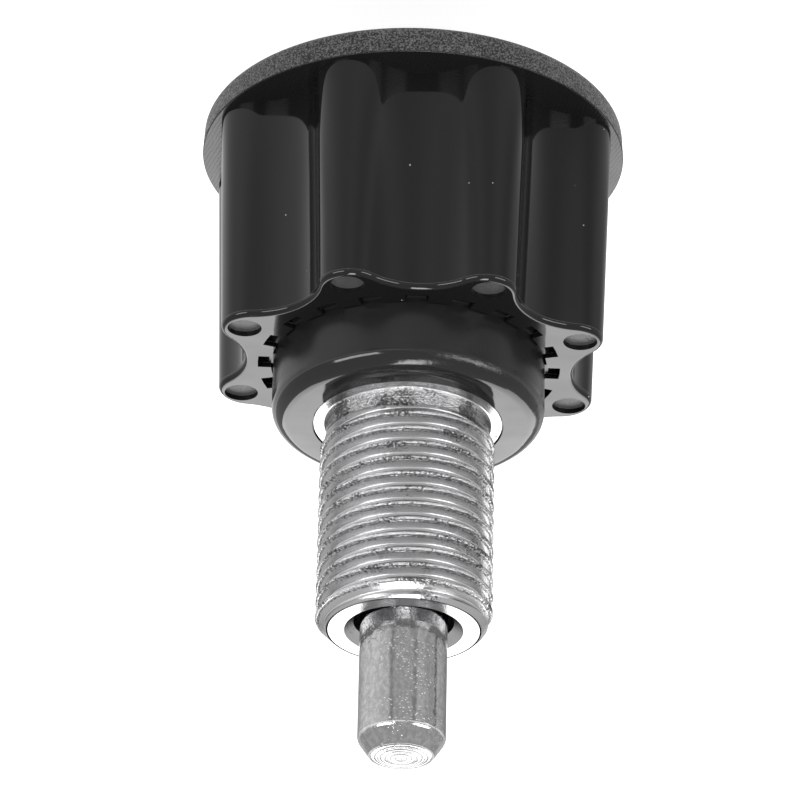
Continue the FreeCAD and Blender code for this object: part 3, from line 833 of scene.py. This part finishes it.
class KNOB_OT_barrel(bpy.types.Operator):
    """Build the steel barrel with its helical thread"""
    bl_idname = "knob.barrel"
    bl_label = "Threaded barrel"

    def execute(self, context):
        sizes = context.scene.barrel_sizes
        bm = bmesh.new()
        flange = BARREL_HIGH.x
        face = COLLAR_HIGH.z - sizes.flange_recess
        head_top = face - sizes.flange_thickness
        end = BARREL_HIGH.z
        neck_end = face + sizes.neck_length - (sizes.thread - sizes.neck)
        overlap = 0.3 * MM
        core = sizes.thread - sizes.thread_depth - overlap
        end_face = sizes.thread - sizes.end_chamfer
        shelf = end - 0.2 * MM
        sink = end - (sizes.countersink - sizes.lip_bore)
        stop = end - sizes.lip
        turned(bm, [
            (sizes.spring_bore, head_top), (flange, head_top), (flange, face), (sizes.neck, face),
            (sizes.neck, neck_end), (core, neck_end), (core, shelf), (end_face, shelf), (end_face, end),
            (sizes.countersink, end), (sizes.lip_bore, sink), (sizes.lip_bore, stop),
            (sizes.spring_bore, stop), (sizes.spring_bore, head_top),
        ], [(3, sizes.neck_round)], 192)
        for radius, low, high in ((sizes.bush_seat, BARREL_LOW.z, BUSH_HIGH.z),
                                  (sizes.spring_bore, BUSH_HIGH.z, head_top)):
            rings = [add_hexagon(bm, sizes.across_flats, low), add_circle(bm, radius, low, 96)]
            add_prism(bm, rings, high - low)
        self.add_thread(bm, sizes, core, neck_end, end)
        finish = zinc_finish(context.scene.finish_colours, sizes.thread, face + sizes.neck_length)
        piece("screw_barrel", bm, "barrel", "zinc_plated_steel", finish, "threaded_barrel")
        return {"FINISHED"}

    def add_thread(self, bm, sizes, core, low, high, steps=144, flank_angle=math.radians(30),
                   root_round=0.12 * MM, crest_round=0.06 * MM):
        """A helical sleeve cut to the barrel's length and trimmed to the cones at both ends."""
        pitch = sizes.pitch
        root = sizes.thread - sizes.thread_depth
        flank = sizes.thread_depth * math.tan(flank_angle)
        crest = pitch / 8
        foot = (pitch - 2 * flank - crest) / 2
        start = low - 1.5 * pitch
        turns = math.ceil((high - start) / pitch) + 1
        sleeve = bmesh.new()
        verts = add_wire(sleeve, [
            (root, start), (root, start + foot), (sizes.thread, start + foot + flank),
            (sizes.thread, start + foot + flank + crest), (root, start + foot + 2 * flank + crest),
            (root, start + pitch),
        ])
        for index, radius in ((1, root_round), (4, root_round), (2, crest_round), (3, crest_round)):
            round_corner(sleeve, verts[index], radius, 3)
        bmesh.ops.subdivide_edges(sleeve, edges=sleeve.edges[:], cuts=1)
        bmesh.ops.spin(sleeve, geom=sleeve.verts[:] + sleeve.edges[:], cent=CENTRE, axis=UP,
                       dvec=(0, 0, pitch / steps), angle=FULL_TURN, steps=steps, use_merge=False,
                       use_duplicate=False)
        single = whole(sleeve)
        for index in range(1, turns):
            made = bmesh.ops.duplicate(sleeve, geom=single)
            copies = only(bmesh.types.BMVert, made["geom"])
            bmesh.ops.translate(sleeve, verts=copies, vec=(0, 0, index * pitch))
        bmesh.ops.remove_doubles(sleeve, verts=sleeve.verts, dist=NEAR)
        trim(sleeve, low, high)
        for vert in sleeve.verts:
            limit = min(sizes.neck + (vert.co.z - low), sizes.thread - sizes.end_chamfer + (high - vert.co.z))
            draw_in(vert, min(limit, vert.co.xy.length))
        rims = [edge for edge in sleeve.edges if edge.is_boundary]
        made = bmesh.ops.extrude_edge_only(sleeve, edges=rims)
        for vert in only(bmesh.types.BMVert, made["geom"]):
            draw_in(vert, core)
        add_shell(bm, sleeve)


class KNOB_OT_plunger(bpy.types.Operator):
    """Build the plunger pin with its turned tip"""
    bl_idname = "knob.plunger"
    bl_label = "Plunger pin"

    def execute(self, context):
        sizes = context.scene.pin_sizes
        barrel = context.scene.barrel_sizes
        bm = bmesh.new()
        tip = PIN_HIGH.z
        stop = BARREL_HIGH.z - barrel.lip
        shoulder = barrel.spring_bore - sizes.shoulder_gap
        shoulder_low = stop - sizes.shoulder
        face = tip - sizes.dome
        stud_end = SHANK_WASHER_HIGH.z
        chamfer = 0.3 * MM
        chamfer_round = 0.9 * MM
        face_round = 0.12 * MM
        points = [
            (0, PIN_LOW.z), (sizes.stud, PIN_LOW.z), (sizes.stud, stud_end), (sizes.shank, stud_end),
            (sizes.shank, shoulder_low), (shoulder - chamfer, shoulder_low),
            (shoulder, shoulder_low + chamfer), (shoulder, stop), (sizes.nose, stop),
            (sizes.nose, face - sizes.tip_chamfer), (sizes.tip_face, face),
        ]
        turned(bm, points + self.dome(sizes, tip), [(9, chamfer_round), (10, face_round)], 160)
        finish = pin_finish(context.scene.finish_colours, sizes, face)
        piece("plunger", bm, "knob", "pin_steel", finish, "plunger_pin", crease=math.radians(20))
        return {"FINISHED"}

    def dome(self, sizes, tip, rings=60, grooves=5, depth=0.03 * MM):
        """The domed face with shallow turned grooves."""
        bend = (sizes.tip_face ** 2 + sizes.dome ** 2) / (2 * sizes.dome)
        points = []
        for index in range(rings - 1, -1, -1):
            radius = sizes.tip_face * index / rings
            height = tip - bend + math.sqrt(bend ** 2 - radius ** 2)
            ripple = depth * math.sin(grooves * FULL_TURN * index / rings) ** 2 if index else 0
            points.append((radius, height - ripple))
        return points


class KNOB_OT_spring(bpy.types.Operator):
    """Build the return spring with closed and ground ends"""
    bl_idname = "knob.spring"
    bl_label = "Return spring"

    def execute(self, context):
        sizes = context.scene.pin_sizes
        bm = bmesh.new()
        low, high = SPRING_LOW.z, SPRING_HIGH.z
        end_pitch = 2 * sizes.wire + sizes.end_gap
        pitch = (high - low - 2 * end_pitch) / sizes.active_turns
        circle = bmesh.ops.create_circle(
            bm, segments=20, radius=sizes.wire,
            matrix=Matrix.Translation((sizes.coil, 0, low)) @ Matrix.Rotation(math.pi / 2, 4, "X"))
        verts = circle["verts"]
        for climb, turns in ((end_pitch, 1), (pitch, sizes.active_turns), (end_pitch, 1)):
            steps = 48 * turns
            edges = {edge for vert in verts for edge in vert.link_edges if edge.other_vert(vert) in verts}
            made = bmesh.ops.spin(bm, geom=verts + list(edges), cent=CENTRE, axis=UP,
                                  dvec=(0, 0, climb * turns / steps), angle=FULL_TURN * turns, steps=steps,
                                  use_merge=False, use_duplicate=False)
            verts = only(bmesh.types.BMVert, made["geom_last"])
        bmesh.ops.holes_fill(bm, edges=[edge for edge in bm.edges if edge.is_boundary], sides=0)
        trim(bm, low, high, close=True)
        finish = inner_steel_finish(context.scene.finish_colours, "spring_wire_finish")
        made = piece("coil_spring", bm, "barrel", "spring_wire", finish, "return_spring")
        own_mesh(made)
        return {"FINISHED"}


class KNOB_OT_inner(bpy.types.Operator):
    """Give the pieces hidden inside the knob their finishes"""
    bl_idname = "knob.inner"
    bl_label = "Inner pieces"

    def execute(self, context):
        colours = context.scene.finish_colours
        bush = inner_steel_finish(colours, "bush_finish")
        nut = inner_steel_finish(colours, "nut_finish")
        nylon = nylon_finish(colours)
        finishes = {"spring_bush": bush, "knob_nut": nut, "nut_washer": nut, "shank_washer": nut,
                    "nut_lock_ring": nylon}
        for name, finish in finishes.items():
            slots = frame["nodes"][name].material_slots
            if not slots:
                raise RuntimeError(f"{name} has no material slot")
            for slot in slots:
                slot.material = finish
        return {"FINISHED"}


class KNOB_OT_stage(bpy.types.Operator):
    """Set the floor, the lights and the camera"""
    bl_idname = "knob.stage"
    bl_label = "Stage"

    eye: FloatVectorProperty(name="Eye", description="Place of the camera", subtype="XYZ", unit="LENGTH",
                             size=3, default=(17.73 * MM, -393.90 * MM, 233.5 * MM))
    forward: FloatVectorProperty(name="Forward", description="Direction that the camera looks in",
                                 subtype="XYZ", size=3, default=(-0.0382, 0.8861, -0.4619))
    upward: FloatVectorProperty(name="Upward", description="Direction of the picture's upper edge",
                                subtype="XYZ", size=3, default=(0.0406, -0.4605, -0.8868))

    def execute(self, context):
        stage = context.scene.stage_settings
        self.add_camera(context.scene, stage)
        self.add_floor(context.scene, stage)
        self.add_sky(context.scene, stage)
        self.add_card()
        self.add_light("rear_soft_box", (-0.07, 0.58, 0.42), (0.64, 0.42), stage.rear_light)
        self.add_light("left_soft_box", (0.42, -0.41, 0.15), (0.42, 0.13), stage.front_light)
        self.add_light("right_soft_box", (-0.45, -0.37, 0.17), (0.4, 0.13), stage.front_light)
        self.add_light("top_soft_box", (-0.01, -0.11, 0.62), (0.14, 0.34), stage.top_light)
        context.scene.view_settings.view_transform = "Standard"
        return {"FINISHED"}

    def add_camera(self, scene, stage):
        camera = bpy.data.objects.new("camera", bpy.data.cameras.new("camera"))
        scene.collection.objects.link(camera)
        camera.data.lens = stage.lens
        camera.data.clip_start = 10 * MM
        back = -Vector(self.forward).normalized()
        right = Vector(self.upward).cross(back).normalized()
        up = back.cross(right)
        axes = Matrix((right, up, back)).transposed().to_4x4()
        camera.matrix_world = Matrix.Translation(Vector(self.eye)) @ axes
        scene.camera = camera

    def add_floor(self, scene, stage, reach=6.0):
        """A wide floor just under the place that the cap comes to when the knob is pulled."""
        bm = bmesh.new()
        travel = frame["joints"][0]["range_m"][1]
        height = CAD_BOX[0][2] - travel - stage.floor_room
        bmesh.ops.create_grid(bm, x_segments=1, y_segments=1, size=reach,
                              matrix=Matrix.Translation((0, 0, height)))
        floor = add_object("floor", bm, floor_finish(scene.finish_colours, stage.floor_lift))

    def add_sky(self, scene, stage):
        world = bpy.data.worlds.new("surroundings")
        world.use_nodes = True
        background = world.node_tree.nodes["Background"]
        background.inputs["Color"].default_value = (1, 1, 1, 1)
        background.inputs["Strength"].default_value = stage.sky
        scene.world = world

    def add_card(self, inner=21 * MM, outer=240 * MM, height=0.2 * MM):
        """A flat ring round the cap, at the level of its face, that only reflections show."""
        bm = bmesh.new()
        turn(bm, add_wire(bm, [(inner, CAD_BOX[0][2] + height), (outer, CAD_BOX[0][2] + height)]), 96)
        card = add_object("reflection_card", bm, card_finish())
        card.visible_camera = False
        card.visible_diffuse = False
        card.visible_shadow = False

    def add_light(self, name, place, size, brightness, target=(0, 0, 30 * MM)):
        """A rectangular soft box aimed at the knob; brightness is the level at which it shows in a mirror."""
        light = bpy.data.lights.new(name, "AREA")
        light.shape = "RECTANGLE"
        light.size, light.size_y = size
        light.energy = brightness * math.pi * size[0] * size[1]
        made = bpy.data.objects.new(name, light)
        bpy.context.scene.collection.objects.link(made)
        aim = (Vector(target) - Vector(place)).to_track_quat("-Z", "Y").to_matrix().to_4x4()
        made.matrix_world = Matrix.Translation(place) @ aim


class KNOB_PT_panel(bpy.types.Panel):
    """Lists the knob's pieces"""
    bl_idname = "KNOB_PT_panel"
    bl_label = "Fluted pull knob"
    bl_space_type = "VIEW_3D"
    bl_region_type = "UI"
    bl_category = "Knob"

    def draw(self, context):
        for operator in PIECES:
            self.layout.operator(operator.bl_idname)


PIECES = (KNOB_OT_stage, KNOB_OT_body, KNOB_OT_cap, KNOB_OT_collar, KNOB_OT_barrel, KNOB_OT_plunger,
          KNOB_OT_spring, KNOB_OT_inner)
GROUPS = {
    "knob_sizes": KnobSizes,
    "spline_sizes": SplineSizes,
    "collar_sizes": CollarSizes,
    "barrel_sizes": BarrelSizes,
    "pin_sizes": PinSizes,
    "finish_colours": FinishColours,
    "stage_settings": StageSettings,
}


def register():
    for group in GROUPS.values():
        bpy.utils.register_class(group)
    for name, group in GROUPS.items():
        setattr(bpy.types.Scene, name, PointerProperty(type=group))
    for operator in PIECES:
        bpy.utils.register_class(operator)
    bpy.utils.register_class(KNOB_PT_panel)


def unregister():
    bpy.utils.unregister_class(KNOB_PT_panel)
    for operator in reversed(PIECES):
        bpy.utils.unregister_class(operator)
    for name in GROUPS:
        delattr(bpy.types.Scene, name)
    for group in reversed(list(GROUPS.values())):
        bpy.utils.unregister_class(group)


def main():
    register()
    for operator in PIECES:
        group, name = operator.bl_idname.split(".")
        getattr(getattr(bpy.ops, group), name)()


if __name__ == "__main__":
    main()
